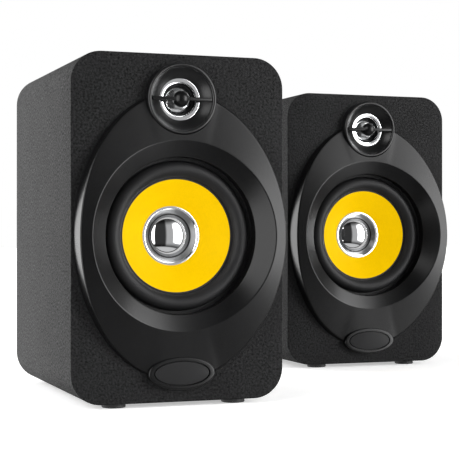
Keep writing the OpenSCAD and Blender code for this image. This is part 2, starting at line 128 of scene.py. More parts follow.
def rounded(points, steps=4):
    """A closed outline whose corners (x, y, radius) are rounded off."""
    out = []
    count = len(points)
    for i, point in enumerate(points):
        corner = Vector(point[:2])
        radius = point[2] if len(point) > 2 else 0
        before = (Vector(points[i - 1][:2]) - corner).normalized()
        after = (Vector(points[(i + 1) % count][:2]) - corner).normalized()
        half = before.angle(after) / 2
        if radius <= 0 or half > radians(89):
            out.append(tuple(corner))
            continue
        reach = radius / tan(half)
        centre = corner + (before + after).normalized() * (radius / sin(half))
        first = corner + before * reach - centre
        last = corner + after * reach - centre
        sweep = atan2(first.x * last.y - first.y * last.x, first.dot(last))
        for k in range(steps + 1):
            turn = Matrix.Rotation(sweep * k / steps, 2)
            out.append(tuple(centre + turn @ first))
    return out


def rectangle(width, height, radius, steps=4):
    x, y = width / 2, height / 2
    return rounded([(x, -y, radius), (x, y, radius), (-x, y, radius), (-x, -y, radius)], steps)


def ellipse(a, b, steps=96):
    return [(a * cos(t), b * sin(t)) for t in np.linspace(0, 2 * pi, steps, endpoint=False)]


# ---- meshes

def in_scene(name, data):
    obj = bpy.data.objects.new(name, data)
    bpy.context.scene.collection.objects.link(obj)
    return obj


def smoothed(mesh, smooth=35):
    """Shades a mesh smoothly across edges that bend by less than smooth degrees."""
    mesh.polygons.foreach_set("use_smooth", [True] * len(mesh.polygons))
    mesh.set_sharp_from_angle(angle=radians(smooth))


def new_object(name, bm, smooth=35):
    bmesh.ops.recalc_face_normals(bm, faces=bm.faces)
    mesh = bpy.data.meshes.new(name)
    bm.to_mesh(mesh)
    bm.free()
    smoothed(mesh, smooth)
    return in_scene(name, mesh)


def from_rings(name, rings, matrix, closed=True):
    """A mesh through rings of equal length; closed joins the last ring to the first."""
    bm = bmesh.new()
    rows = [[bm.verts.new(matrix @ Vector(p)) for p in ring] for ring in rings]
    count = len(rows[0])
    pairs = zip(rows, rows[1:] + rows[:1]) if closed else zip(rows, rows[1:])
    for a, b in pairs:
        for i in range(count):
            j = (i + 1) % count
            bm.faces.new((a[i], a[j], b[j], b[i]))
    if not closed:
        bm.faces.new(rows[0])
        bm.faces.new(rows[-1])
    return new_object(name, bm)


def lathe(name, profile, matrix, segments, smooth=35, bumps=None):
    """Revolves a closed profile of (radius, height) about local z.

    bumps(angle, radius, height) is added to a radius.
    """
    bm = bmesh.new()
    rows = []
    for radius, height in profile:
        if radius < 1e-6:
            rows.append([bm.verts.new(matrix @ Vector((0, 0, height)))])
            continue
        row = []
        for i in range(segments):
            angle = 2 * pi * i / segments
            reach = radius + (bumps(angle, radius, height) if bumps else 0)
            place = Vector((reach * cos(angle), reach * sin(angle), height))
            row.append(bm.verts.new(matrix @ place))
        rows.append(row)
    for a, b in zip(rows, rows[1:] + rows[:1]):
        if len(a) == 1 and len(b) == 1:
            continue
        for i in range(segments):
            j = (i + 1) % segments
            corners = [a[i % len(a)], a[j % len(a)], b[j % len(b)], b[i % len(b)]]
            bm.faces.new(list(dict.fromkeys(corners)))
    return new_object(name, bm, smooth)


def prism(name, outline, bottom, top, matrix, edge, steps=3):
    """A plate between two heights, its outline's rims rounded by edge."""
    centre = np.mean(np.array(outline), axis=0)
    size = np.abs(np.array(outline) - centre).max(axis=0)
    rings = []
    quarter = [radians(90 * k / steps) for k in range(steps + 1)]
    rims = [(bottom + edge * (1 - sin(t)), edge * (1 - cos(t))) for t in reversed(quarter)]
    rims += [(top - edge * (1 - sin(t)), edge * (1 - cos(t))) for t in quarter]
    for height, inset in rims:
        scale = (size - inset) / size
        rings.append([((x - centre[0]) * scale[0] + centre[0], (y - centre[1]) * scale[1] + centre[1], height)
                      for x, y in outline])
    return from_rings(name, rings, matrix, closed=False)


def brick(name, low, high, matrix, edge):
    """A bevelled block between two corners."""
    width, depth = high[0] - low[0], high[1] - low[1]
    outline = [(x + (low[0] + high[0]) / 2, y + (low[1] + high[1]) / 2)
               for x, y in rectangle(width, depth, edge, 3)]
    return prism(name, outline, low[2], high[2], matrix, edge)


def cut(obj, *tools, operation="DIFFERENCE"):
    """Takes tools out of obj, or adds them with "UNION", and removes them."""
    for tool in tools:
        modifier = obj.modifiers.new("join", "BOOLEAN")
        modifier.operation = operation
        modifier.solver = "EXACT"
        modifier.object = tool
    bpy.context.view_layer.update()
    evaluated = obj.evaluated_get(bpy.context.evaluated_depsgraph_get())
    mesh = bpy.data.meshes.new_from_object(evaluated)
    obj.modifiers.clear()
    obj.data = mesh
    for tool in tools:
        bpy.data.objects.remove(tool)
    smoothed(mesh)


def join(obj, *tools):
    cut(obj, *tools, operation="UNION")


def cylinder(radius, bottom, top, matrix, segments=96):
    profile = [(0, bottom), (radius, bottom), (radius, top), (0, top)]
    return lathe("tool", profile, matrix, segments)


def merged(name, parts):
    """One object from several meshes."""
    bm = bmesh.new()
    for part in parts:
        bm.from_mesh(part.data)
        bpy.data.objects.remove(part)
    return new_object(name, bm)


def soften(obj, width):
    """Rounds the sharp edges of an object by width, in mm."""
    bevel = obj.modifiers.new("bevel", "BEVEL")
    bevel.width = width * MM
    bevel.segments = 2
    bevel.limit_method = "ANGLE"
    bevel.angle_limit = radians(40)
    bevel.harden_normals = True


# ---- materials

class Tree:
    """Short calls for the nodes of a material or of the world."""

    def __init__(self, owner):
        owner.use_nodes = True
        self.nodes, self.links = owner.node_tree.nodes, owner.node_tree.links

    def put(self, node, inputs):
        """Sets a node's inputs, each to a value or to another node's socket."""
        for name, value in inputs.items():
            if isinstance(value, bpy.types.NodeSocket):
                self.links.new(value, node.inputs[name])
            else:
                node.inputs[name].default_value = value
        return node

    def math(self, operation, *values):
        node = self.nodes.new("ShaderNodeMath")
        node.operation = operation
        return self.put(node, dict(enumerate(values))).outputs["Value"]

    def range(self, value, low, high, start=0.3, end=0.7, smooth=False):
        """Turns start to end into low to high."""
        node = self.nodes.new("ShaderNodeMapRange")
        node.interpolation_type = "SMOOTHSTEP" if smooth else "LINEAR"
        self.put(node, {"Value": value, "From Min": start, "From Max": end, "To Min": low, "To Max": high})
        return node.outputs["Result"]


class Graph(Tree):
    """A material's node tree."""

    def __init__(self, name):
        self.material = bpy.data.materials.new(name)
        super().__init__(self.material)
        self.shader = self.nodes["Principled BSDF"]
        self.place = self.nodes.new("ShaderNodeTexCoord").outputs["Object"]

    def set(self, **values):
        """Sets the shader's inputs, with an underscore for each space in their names."""
        self.put(self.shader, {name.replace("_", " "): value for name, value in values.items()})

    def noise(self, size, detail=4.0, roughness=0.6, stretch=None):
        """Noise whose features are about size mm across."""
        place = self.place
        if stretch:
            mapping = self.put(self.nodes.new("ShaderNodeMapping"), {"Scale": stretch, "Vector": place})
            place = mapping.outputs["Vector"]
        node = self.nodes.new("ShaderNodeTexNoise")
        self.put(node, {"Scale": 1 / (size * MM), "Detail": detail, "Roughness": roughness, "Vector": place})
        return node.outputs["Fac"]

    def cells(self, size, feature="F1"):
        node = self.nodes.new("ShaderNodeTexVoronoi")
        node.feature = feature
        return self.put(node, {"Scale": 1 / (size * MM), "Vector": self.place}).outputs["Distance"]

    def mix(self, factor, first, second):
        """A colour between two others, each a (red, green, blue) or a socket."""
        node = self.nodes.new("ShaderNodeMix")
        node.data_type = "RGBA"
        first, second = ((*c, 1) if isinstance(c, tuple) else c for c in (first, second))
        # A Mix node's colour sockets are numbers 6 and 7 going in, and 2 coming out
        return self.put(node, {0: factor, 6: first, 7: second}).outputs[2]

    def add(self, first, second, weight=1.0):
        """The first plus weight times the second."""
        return self.math("MULTIPLY_ADD", second, weight, first)

    def made(self, colour, roughness, relief, depth, strength=1.0, **others):
        """The material with its colour, its roughness and a relief of about depth mm."""
        bump = self.nodes.new("ShaderNodeBump")
        self.put(bump, {"Distance": depth * MM, "Strength": strength, "Height": relief})
        self.set(Base_Color=colour, Roughness=roughness, Normal=bump.outputs["Normal"], **others)
        return self.material


def shaded(name, colour, spread, roughness, size, depth, metallic=0.0, stretch=None, detail=4.0, gloss=0.5):
    """A material with noise in its colour, roughness and relief.

    spread is the share the colour varies by; size and depth, in mm, are the grain's.
    """
    g = Graph(name)
    dark = tuple(c * (1 - spread) for c in colour)
    light = tuple(min(1, c * (1 + spread)) for c in colour)
    cloud = g.noise(40, 3.0)
    grain = g.noise(size, detail, stretch=stretch)
    paint = g.mix(g.range(g.add(cloud, grain, 0.35), 0, 1, 0.5, 0.85), dark, light)
    rough = g.range(grain, roughness * 0.85, min(1, roughness * 1.15))
    return g.made(paint, rough, grain, depth, Metallic=metallic, Specular_IOR_Level=gloss)


def vinyl():
    """Black wrap with a pebble grain."""
    g = Graph("vinyl_wrap")
    grain = g.noise(1.5, 2.0, 0.6)
    fine = g.noise(0.5, 2.0, 0.6)
    cloud = g.noise(30, 2.0)
    tone = g.range(g.add(g.add(grain, fine, 0.3), cloud, 0.15), 0, 1, 0.5, 0.95)
    paint = g.mix(tone, (0.004, 0.004, 0.0041), (0.017, 0.017, 0.0174))
    return g.made(paint, g.range(grain, 0.62, 0.5), g.add(grain, fine, 0.4), 0.3,
                  Specular_IOR_Level=g.range(tone, 0.015, 0.07, 0, 1))


def satin_plastic(name, gloss, roughness):
    """Smooth black moulding; gloss is its mirror strength and roughness its blur."""
    g = Graph(name)
    fine = g.noise(0.25, 2.0)
    cloud = g.noise(25, 3.0)
    paint = g.mix(cloud, (0.003, 0.003, 0.0031), (0.005, 0.005, 0.0053))
    rough = g.range(g.add(fine, cloud, 0.5), roughness * 0.9, roughness * 1.1, 0.5, 1.0)
    return g.made(paint, rough, fine, 0.012, 0.6, Specular_IOR_Level=gloss)


def glowing_cone_coating():
    """Yellow coating with the faint fibre of the paper under it; it also glows, painted light that makes it
    look evenly lit. Metal beside it mirrors a painted plain grey instead of the yellow.
    """
    g = Graph("cone_yellow")
    fibre = g.noise(0.9, 5.0, 0.65, stretch=(1, 1, 0.35))
    cloud = g.noise(12, 2.0)
    tone = g.range(g.add(fibre, cloud, 0.6), 0, 1, 0.6, 1.0)
    paint = g.mix(tone, (0.205, 0.126, 0.0), (0.22, 0.136, 0.0))
    # Glossy rays see a plain grey in place of the yellow: a painted reflection.
    mirrored = g.nodes.new("ShaderNodeLightPath").outputs["Is Glossy Ray"]
    seen = g.mix(mirrored, paint, (0.14, 0.14, 0.14))
    # The emission is painted light: the coating glows so that it looks evenly and brightly lit.
    return g.made(seen, g.range(fibre, 0.5, 0.66), fibre, 0.03, 0.7, Specular_IOR_Level=0.03,
                  Emission_Color=seen, Emission_Strength=3.2)


def chrome(name, roughness, shine):
    """Plating; shine is the share of a bright chrome's reflection."""
    g = Graph(name)
    haze = g.noise(6, 4.0)
    dull = (0.80 * shine, 0.81 * shine, 0.83 * shine)
    bright = (0.88 * shine, 0.885 * shine, 0.89 * shine)
    rough = g.range(haze, roughness * 0.7, roughness * 1.3)
    return g.made(g.mix(haze, dull, bright), rough, g.noise(3, 2.0), 0.002, 0.5, Metallic=1.0)


def ferrite():
    g = Graph("ferrite")
    grain = g.noise(0.8)
    lumps = g.add(grain, g.cells(1.4))
    paint = g.mix(g.range(lumps, 0, 1, 0.4, 1.2), (0.02, 0.02, 0.022), (0.07, 0.07, 0.075))
    return g.made(paint, g.range(grain, 0.6, 0.85), lumps, 0.06)


def woven(name, colour, pitch):
    """Cloth whose threads are pitch mm apart."""
    g = Graph(name)
    waves_per_scale = 0.314
    waves = []
    for direction in ("X", "Z"):
        wave = g.nodes.new("ShaderNodeTexWave")
        wave.bands_direction = direction
        g.put(wave, {"Scale": waves_per_scale / (pitch * MM), "Distortion": 0.6, "Vector": g.place})
        waves.append(wave.outputs["Fac"])
    weave = g.add(waves[0], waves[1])
    dark = tuple(c * 0.6 for c in colour)
    return g.made(g.mix(g.range(weave, 0, 1, 0.4, 1.6), dark, colour), 0.85, weave, 0.15)


def circuit_board():
    """Green solder mask with paler tracks."""
    g = Graph("circuit_board")
    tracks = g.range(g.cells(5.0, "DISTANCE_TO_EDGE"), 1, 0, 0.05, 0.09)
    paint = g.mix(tracks, (0.010, 0.12, 0.035), (0.035, 0.26, 0.08))
    return g.made(paint, g.range(g.noise(0.5), 0.3, 0.45), tracks, 0.05)


# How a grain is squeezed along x, y and z
BRUSHED, WOUND, LAYERED = (1, 1, 40), (1, 30, 1), (30, 1, 1)
MATERIALS = {
    "vinyl": vinyl(),
    "bezel": satin_plastic("bezel_plastic", 0.18, 0.29),
    "horn": satin_plastic("horn_plastic", 0.3, 0.34),
    "satin_chrome": chrome("satin_plating", 0.4, 0.34),
    "yellow": glowing_cone_coating(),
    "chrome": chrome("chrome_plating", 0.05, 1.0),
    "ferrite": ferrite(),
    "surround": shaded("surround_rubber", (0.010, 0.010, 0.0105), 0.3, 0.5, 0.6, 0.12, gloss=0.16),
    "badge": shaded("badge_plastic", (0.013, 0.013, 0.0134), 0.15, 0.38, 0.3, 0.01, gloss=0.07),
    "basket": shaded("basket_coat", (0.02, 0.02, 0.021), 0.3, 0.55, 0.7, 0.04),
    "zinc": shaded("zinc_steel", (0.55, 0.56, 0.56), 0.2, 0.38, 2.5, 0.02, metallic=1.0),
    "copper": shaded("coil_copper", (0.75, 0.33, 0.13), 0.15, 0.3, 0.3, 0.05, 1.0, WOUND),
    "spider": woven("spider_cloth", (0.62, 0.40, 0.16), 0.8),
    "foil": shaded("dome_foil", (0.82, 0.83, 0.84), 0.06, 0.16, 0.8, 0.01, metallic=1.0),
    "plastic": shaded("black_plastic", (0.010, 0.010, 0.0104), 0.25, 0.42, 0.35, 0.02, gloss=0.3),
    "knob": shaded("knob_plastic", (0.016, 0.016, 0.017), 0.2, 0.33, 0.3, 0.01),
    "plate": shaded("plate_paint", (0.014, 0.014, 0.0145), 0.25, 0.5, 0.45, 0.035),
    "print": shaded("white_print", (0.75, 0.75, 0.74), 0.08, 0.6, 0.3, 0.005),
    "sink": shaded("sink_aluminium", (0.50, 0.51, 0.53), 0.12, 0.4, 0.6, 0.02, 1.0, BRUSHED),
    "board": circuit_board(),
    "core": shaded("core_steel", (0.20, 0.12, 0.07), 0.3, 0.5, 0.5, 0.08, 0.6, LAYERED),
    "film": shaded("capacitor_film", (0.45, 0.07, 0.03), 0.15, 0.25, 1.5, 0.02),
    "nickel": shaded("nickel_plate", (0.72, 0.68, 0.60), 0.08, 0.2, 1.2, 0.005, metallic=1.0),
    "red": shaded("red_plastic", (0.50, 0.018, 0.012), 0.12, 0.35, 0.5, 0.01),
    "white": shaded("white_plastic", (0.72, 0.72, 0.70), 0.06, 0.35, 0.5, 0.01),
    "rubber": shaded("foot_rubber", (0.012, 0.012, 0.012), 0.25, 0.7, 0.5, 0.02),
    "fibre": shaded("wadding_fibre", (0.72, 0.71, 0.67), 0.12, 0.95, 1.2, 0.6, detail=8.0),
    "sheath": shaded("cable_sheath", (0.014, 0.014, 0.0145), 0.25, 0.45, 0.5, 0.02),
    "screw": shaded("black_oxide", (0.045, 0.045, 0.048), 0.3, 0.35, 0.8, 0.015, metallic=0.9),
}


def finish(obj, look, slot, *nodes, body="root"):
    """Gives a piece its material, the body it rides on and the CAD nodes it stands for; slot is not used."""
    obj.data.materials.clear()
    obj.data.materials.append(MATERIALS[look])
    if body:
        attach(obj, body)
    if nodes:
        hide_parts(*nodes)
    return obj


# ---- cabinets

CORNER = 20
BOARD = 9
BAFFLE = 15
FLANGE_RECESS_R, FLANGE_RECESS = 58.5, 8
WOOFER_HOLE_R = 50.5
TUBE_HOLE_R = 19  # for the tweeter in front and the port behind
# Half sizes of the rear openings
AMP_OPENING = (52, 62)
TERMINAL_OPENING = (15, 9)
CUT = 2  # how far cutting tools reach past a surface


def cabinet(s):
    """Wrapped box with slightly eased front and rear edges, hollow, with its real openings."""
    size = (s.high - s.low) / MM
    at = s.front(s.middle("cabinet").z)
    depth = size.y
    shell = prism(s.side + "_cabinet_shell", rectangle(size.x, size.z, CORNER, 14), -depth, 0, at, 0.7)
    inside = rectangle(size.x - 2 * BOARD, size.z - 2 * BOARD, CORNER - BOARD, 8)
    hollow = prism("hollow", inside, BOARD - depth, -BAFFLE, at, 0.01, 1)
    through = -BAFFLE - CUT
    if s.side == "main":
        (x, y), hole_z = AMP_OPENING, node_middle("amp_plate").z
    else:
        (x, y), hole_z = TERMINAL_OPENING, s.middle("terminal_block").z
    tools = [
        hollow,
        cylinder(FLANGE_RECESS_R, -FLANGE_RECESS, CUT, s.woofer, 128),
        cylinder(WOOFER_HOLE_R, through, 1 - FLANGE_RECESS, s.woofer, 128),
        cylinder(TUBE_HOLE_R, through, CUT, s.front(s.tweeter_z)),
        cylinder(TUBE_HOLE_R, -BOARD - CUT, CUT, s.rear(0, s.port_z)),
        brick("opening", (-x, -y, -BOARD - CUT), (x, y, CUT), s.rear(0, hole_z), 0.01),
    ]
    cut(shell, *tools)
    finish(shell, "vinyl", "vinyl_wrapped_mdf", s.side + "_cabinet")


def rubber_feet():
    low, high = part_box("rubber_feet")
    from_middle, inset, radius, tall = 41 * MM, 12 * MM, 8, (high.z - low.z) / MM
    profile = rounded([(0, 0), (radius, 0, 0.7), (radius - 0.5, tall, 0.3), (0, tall)])
    parts = []
    for s in speakers:
        for x in (s.x - from_middle, s.x + from_middle):
            for y in (s.low.y + inset, s.high.y - inset):
                at = Matrix.Translation((x, y, low.z)) @ Matrix.Scale(MM, 4)
                parts.append(lathe("foot", profile, at, 64))
    finish(merged("feet", parts), "rubber", "foot_rubber", "rubber_feet")


def port_tube(s):
    bore_r, tube_r, rim_r, length, rim_h = 17, 19, 25, 90, 2.5
    profile = rounded([(bore_r, -length), (tube_r, -length), (tube_r, 0), (rim_r, 0, 0.3),
                       (rim_r, rim_h, 1.0), (20.5, rim_h, 1.2), (bore_r, -3.5, 5)], 8)
    tube = lathe(s.side + "_port_flare", profile, s.rear(0, s.port_z), 128)
    finish(tube, "plastic", "black_plastic", s.side + "_port_tube")


# ---- bezel and badge

OVAL_A, OVAL_B = 69.5, 93
CREST_R = 61.5
HORN_HOLE_R = 23.4
BADGE_GAP = 0.7
DISH_R, DISH_H = 50.8, 4.5
CREST_SIDE_H, CREST_END_H = 15, 7.5
SLOPE = 0.18
SKIN = 2.2
BOSS_A, BOSS_B, BOSS_H = 22.5, 10.8, 5.6
BADGE_A, BADGE_B, BADGE_SUNK = 18.3, 7.6, 1.8


def oval_radius(t):
    return OVAL_A * OVAL_B / hypot(OVAL_B * cos(t), OVAL_A * sin(t))


def crest_height(t):
    return (CREST_SIDE_H + CREST_END_H) / 2 + (CREST_SIDE_H - CREST_END_H) / 2 * cos(2 * t)


def supported(outline):
    """Adds points beside the ends of long straight stretches, so that smooth shading stays flat there."""
    out = []
    for first, second in zip(outline, outline[1:] + outline[:1]):
        a, b = Vector(first), Vector(second)
        out.append(tuple(a))
        length = (b - a).length
        if length > 1:
            near = min(0.5, 0.2 * length) / length
            out += [tuple(a.lerp(b, near)), tuple(a.lerp(b, 1 - near))]
    return out


def bezel_section(t):
    """The bezel wall's section at angle t, as (radius, height)."""
    edge_r, crest_h = oval_radius(t), crest_height(t)
    edge_h = max(3, crest_h - SLOPE * (edge_r - CREST_R))
    return supported(rounded([
        (DISH_R + 0.2, -3.4, 0.3),
        (DISH_R, DISH_H, 0.7),
        (CREST_R, crest_h, 1.1),
        (edge_r - 0.3, edge_h, 1.2),
        (edge_r + 1, 0),
        (edge_r - 1.4, 0),
        (edge_r - 2.4, max(0.8, edge_h - SKIN)),
        (CREST_R + 0.6, max(1, crest_h - SKIN), 0.5),
        (DISH_R + 3, max(0.4, DISH_H - SKIN), 0.4),
        (DISH_R + 1.8, -3.4),
    ], 5))


def bezel(s):
    steps = 288
    columns = []
    for i in range(steps):
        t = 2 * pi * i / steps
        columns.append([(r * cos(t), r * sin(t), h) for r, h in bezel_section(t)])
    shell = from_rings(s.side + "_bezel_shell", columns, s.woofer)
    badge_at = s.front(s.badge_z)
    cut(shell, prism("clearing", ellipse(BOSS_A - 1, BOSS_B - 1), -1, 20, badge_at, 0.01, 1))
    join(shell, prism("boss", ellipse(BOSS_A, BOSS_B, 144), 0, BOSS_H, badge_at, 1.3, 5))
    seat_outline = ellipse(BADGE_A + BADGE_GAP, BADGE_B + BADGE_GAP, 144)
    seat = prism("seat", seat_outline, BOSS_H - BADGE_SUNK, 20, badge_at, 0.01, 1)
    cut(shell, cylinder(HORN_HOLE_R, -1, 30, s.front(s.tweeter_z), 160), seat)
    finish(shell, "bezel", "bezel_plastic", s.side + "_bezel")
    plate = prism(s.side + "_badge_plate", ellipse(BADGE_A, BADGE_B, 144), BOSS_H - BADGE_SUNK, BOSS_H,
                  badge_at, 0.6, 4)
    finish(plate, "badge", "badge_plastic", s.side + "_badge")


# ---- woofer

LANDING_H = -6
CONE_R = 36.8
CONE_SLOPE = 0.746
FORMER_R = 12.9
ROLL_R, ROLL_W = 43.5, 5.0
CAP_R = 19.5


def cone_height(radius):
    return LANDING_H - CONE_SLOPE * (CONE_R - radius)


def radial_blend(obj):
    """Bakes the piece's placement into its mesh."""
    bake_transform(obj)


def surround(s):
    """Half-roll rubber ring with its two glued lands."""
    middle = LANDING_H + 0.4
    outer, inner = ROLL_R + ROLL_W, ROLL_R - ROLL_W
    top = arc(ROLL_R, middle, ROLL_W + 0.4, 4, 176, 28)
    under = arc(ROLL_R, middle, ROLL_W - 0.4, 180, 0, 28)
    profile = [(51, LANDING_H), (51, LANDING_H + 0.8), (outer + 0.9, LANDING_H + 0.8)] + top
    profile += [(inner - 0.8, LANDING_H + 0.85), (CONE_R + 0.2, LANDING_H + 0.75), (CONE_R, LANDING_H)]
    profile += [(inner + 0.3, LANDING_H)] + under + [(outer - 0.3, LANDING_H)]
    ring = lathe(s.side + "_surround_roll", profile, s.woofer, 192)
    finish(ring, "surround", "surround_rubber", s.side + "_woofer_surround", body=None)
    radial_blend(ring)


def cone(s):
    radii = np.linspace(CONE_R, FORMER_R, 15)
    front = [(r, cone_height(r)) for r in radii]
    back = [(r, h - 0.8) for r, h in reversed(front)]
    profile = [(38.3, LANDING_H)] + front + back + [(38.3, LANDING_H - 0.8)]
    piece = lathe(s.side + "_cone_shell", profile, s.woofer, 192, smooth=30)
    finish(piece, "yellow", "cone_yellow", s.side + "_woofer_cone", body=s.side + "_cone")


def dust_cap(s):
    """Plated cap: a shallow dome behind a groove whose black is painted shade, in a satin conical skirt with
    a rolled bright rim.
    """
    rim = cone_height(CAP_R)
    dome_r, dome_h, ball_r = 14.0, -22.0, 22.0
    half = degrees(asin(dome_r / ball_r))
    ball_h = dome_h - ball_r * cos(radians(half))
    outer = arc(0, ball_h, ball_r, 90 - half, 90, 40)
    inner = arc(0, ball_h, ball_r - 0.7, 90, 91.5 - half, 30)
    skirt = rounded([(CAP_R, rim + 0.02), (CAP_R, rim + 0.95, 0.45), (CAP_R - 1.4, rim + 0.95, 0.5),
                     (CAP_R - 2.0, rim + 0.1, 0.4), (dome_r + 0.8, dome_h + 0.1, 0.15),
                     (dome_r + 0.25, dome_h - 0.5)] + outer[1:-1], 5)
    profile = skirt + [outer[-1]] + inner + [(dome_r - 0.2, cone_height(dome_r - 0.2) + 0.02)]
    piece = lathe(s.side + "_cap_dome", profile, s.woofer, 192, smooth=50)
    finish(piece, "chrome", "chrome_plastic", s.side + "_dust_cap", body=s.side + "_cone")
    for look in ("satin_chrome", "plastic"):
        piece.data.materials.append(MATERIALS[look])
    # Faces in the groove get black plastic as painted shade; faces of the skirt get the satin plating.
    for face in piece.data.polygons:
        out = hypot(face.center.x - s.x, face.center.z - s.woofer_z) / MM
        in_painted_groove_shade = dome_r + 0.05 < out < dome_r + 0.7
        in_skirt = dome_r + 0.7 <= out < CAP_R - 1.8
        face.material_index = 2 if in_painted_groove_shade else int(in_skirt)


def spider(s):
    """Corrugated disc between the former and the basket's ledge."""
    ledge, first_r, last_r, pitch = -28.5, 14.5, 30, 4.2
    top = [(r, ledge + 0.6 + 0.8 * sin(2 * pi * (r - FORMER_R) / pitch))
           for r in np.linspace(first_r, last_r, 61)]
    under = [(r, h - 0.5) for r, h in reversed(top)]
    profile = [(FORMER_R + 0.05, ledge + 0.6)] + top + [(33, ledge + 0.6), (33, ledge)] + under
    profile += [(FORMER_R + 0.05, ledge)]
    disc = lathe(s.side + "_spider_disc", profile, s.woofer, 128)
    finish(disc, "spider", "spider_cloth", s.side + "_spider", body=None)
    radial_blend(disc)


# ---- tweeter

def tweeter(s):
    """Horn ring, chrome ring, dome and the bar with its bullet."""
    at = s.front(s.tweeter_z)
    side = s.side
    outer_r, lip_r, lip_top, throat = 23.2, 1.35, 6.7, 13.8
    lip_h, inner_r = lip_top - lip_r, outer_r - 2 * lip_r
    bend = 13.5  # degrees the bowl's arc turns either side of its chord
    rise = degrees(atan2(lip_h, inner_r - throat))
    bowl = hypot(lip_h, inner_r - throat) / (2 * sin(radians(bend)))
    tilt = radians(rise - bend)
    profile = [(outer_r, 0), (outer_r, lip_h - 0.6)] + arc(outer_r - lip_r, lip_h, lip_r, 0, 180, 14)
    bowl_x, bowl_h = throat - bowl * sin(tilt), bowl * cos(tilt)
    profile += arc(bowl_x, bowl_h, bowl, rise + bend - 90, rise - bend - 90, 18)
    profile += [(throat, -2), (11.9, -2), (11.9, -5.5), (17, -5.5), (17, -12), (18.9, -12), (18.9, 0)]
    horn = lathe(side + "_horn_ring", profile, at, 192)
    bar_x, bar_y, bar_h = 20.1, 1.1, 4.2
    cut(horn, brick("slot", (-bar_x, -bar_y, bar_h), (bar_x, bar_y, 9), at, 0.01))
    finish(horn, "horn", "bezel_plastic", side + "_tweeter_horn")

    ring = rounded([(10.8, -2), (throat, -2), (throat, 0.1, 0.4), (11.3, -0.1, 0.4), (10.8, -0.9, 0.3)], 6)
    finish(lathe(side + "_chrome_ring", ring, at, 160, smooth=50), "chrome", "chrome_plastic",
                 side + "_tweeter_ring")

    edge_r, edge_h, rise = 9.5, -4.3, 3.1
    radius = (edge_r ** 2 + rise ** 2) / (2 * rise)
    centre = edge_h + rise - radius
    half = degrees(asin(edge_r / radius))
    profile = arc(0, centre, radius, 90 - half, 90, 24) + arc(0, centre, radius - 0.4, 90, 90 - half + 1, 24)
    profile += [(9.2, -5.2), (9.2, -9.3), (edge_r, -9.3), (edge_r, -4.8)]
    finish(lathe(side + "_dome_cap", profile, at, 128, smooth=50), "foil", "dome_foil",
                 side + "_tweeter_dome", body=side + "_dome")
    roll = [(9.55, -4.7)] + arc(10.5, -4.6, 0.95, 180, 0, 10) + [(11.5, -4.7), (11.1, -4.75), (9.9, -4.75)]
    finish(lathe(side + "_dome_roll", roll, at, 128), "surround", "surround_rubber",
                 body=side + "_dome")

    bar = brick(side + "_bar", (-bar_x, -bar_y, bar_h), (bar_x, bar_y, bar_h + 2), at, 0.35)
    bullet = [(0, -0.3), (4.2, -0.3)] + arc(0, 3, 5.4, -38, 90, 30)
    join(bar, lathe("bullet", bullet, at, 96))
    finish(bar, "bezel", "black_plastic", side + "_tweeter_bridge")


# ---- fasteners

def screw(name, radius, height, length, shank):
    """Pan-head screw with a cross recess, in mm, its head's underside at z = 0."""
    unit = Matrix.Scale(MM, 4)
    profile = rounded([(0, -length), (shank * 0.5, -length), (shank, 1 - length), (shank, 0),
                       (radius, 0, 0.2), (radius, height * 0.45, radius * 0.35),
                       (radius * 0.45, height, radius * 0.8), (0, height)], 5)
    body = lathe(name, profile, unit, 40)
    width, reach, sunk = radius * 0.22, radius * 0.62, height * 0.4
    for turn in (0, 90):
        at = Matrix.Rotation(radians(turn), 4, "Z") @ unit
        cross = brick("cross", (-reach, -width / 2, sunk), (reach, width / 2, height + 1), at, 0.02)
        cut(body, cross)
    return body


def spread(pattern, places, name):
    """Copies of a mesh at each place, as one object."""
    bm = bmesh.new()
    for place in places:
        mesh = pattern.data.copy()
        mesh.transform(place @ Matrix.Scale(1 / MM, 4))
        bm.from_mesh(mesh)
        bpy.data.meshes.remove(mesh)
    bpy.data.objects.remove(pattern)
    return new_object(name, bm)


def woofer_screws():
    circle_r = 54.5
    places = []
    for s in speakers:
        for quarter in range(4):
            turn = radians(45 + 90 * quarter)
            x, y = circle_r * cos(turn), circle_r * sin(turn)
            at = moved(s.woofer, x, y, LANDING_H)
            places.append(at @ Matrix.Rotation(turn * 1.7, 4, "Z"))
    obj = spread(screw("screw", 3.2, 2.3, 10, 1.7), places, "woofer_screw_set")
    finish(obj, "screw", "screw_steel", "woofer_screws")


# ---- rear of the main speaker

plate_low, plate_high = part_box("amp_plate")
PLATE_Z = node_middle("amp_plate").z
PLATE_W, PLATE_T, PLATE_H = (plate_high - plate_low) / MM


def panel_place(node):
    """Where a rear part of the main speaker sits: mm to the right as seen from behind, and metres up."""
    middle = node_middle(node)
    return (main.x - middle.x) / MM, middle.z


def on_panel(node):
    return main.rear(*panel_place(node), PLATE_T)


def plate_screw_places():
    return [(x * (PLATE_W / 2 - 3.5), y * (PLATE_H / 2 - 4)) for x in (-1, 1) for y in (-1, 0, 1)]


def amp_plate():
    at = main.rear(0, PLATE_Z)
    plate = prism("rear_plate", rectangle(PLATE_W, PLATE_H, 4, 8), 0, PLATE_T, at, 0.35)
    screw_hole_r, shaft_hole_r = 1.7, 3.6
    tools = [cylinder(screw_hole_r, -1, 4, moved(at, x, y), 32) for x, y in plate_screw_places()]
    tools += [cylinder(shaft_hole_r, -4, 4, on_panel(node), 48) for node in KNOBS]
    cut(plate, *tools)
    finish(plate, "plate", "plate_metal", "amp_plate")


# Each knob, with the degrees its pointer starts turned to the left
KNOBS = {"volume_knob": 150, "treble_knob": 0, "bass_knob": 0}
KNOB_BASE, KNOB_TOP = 1.5, 12.4


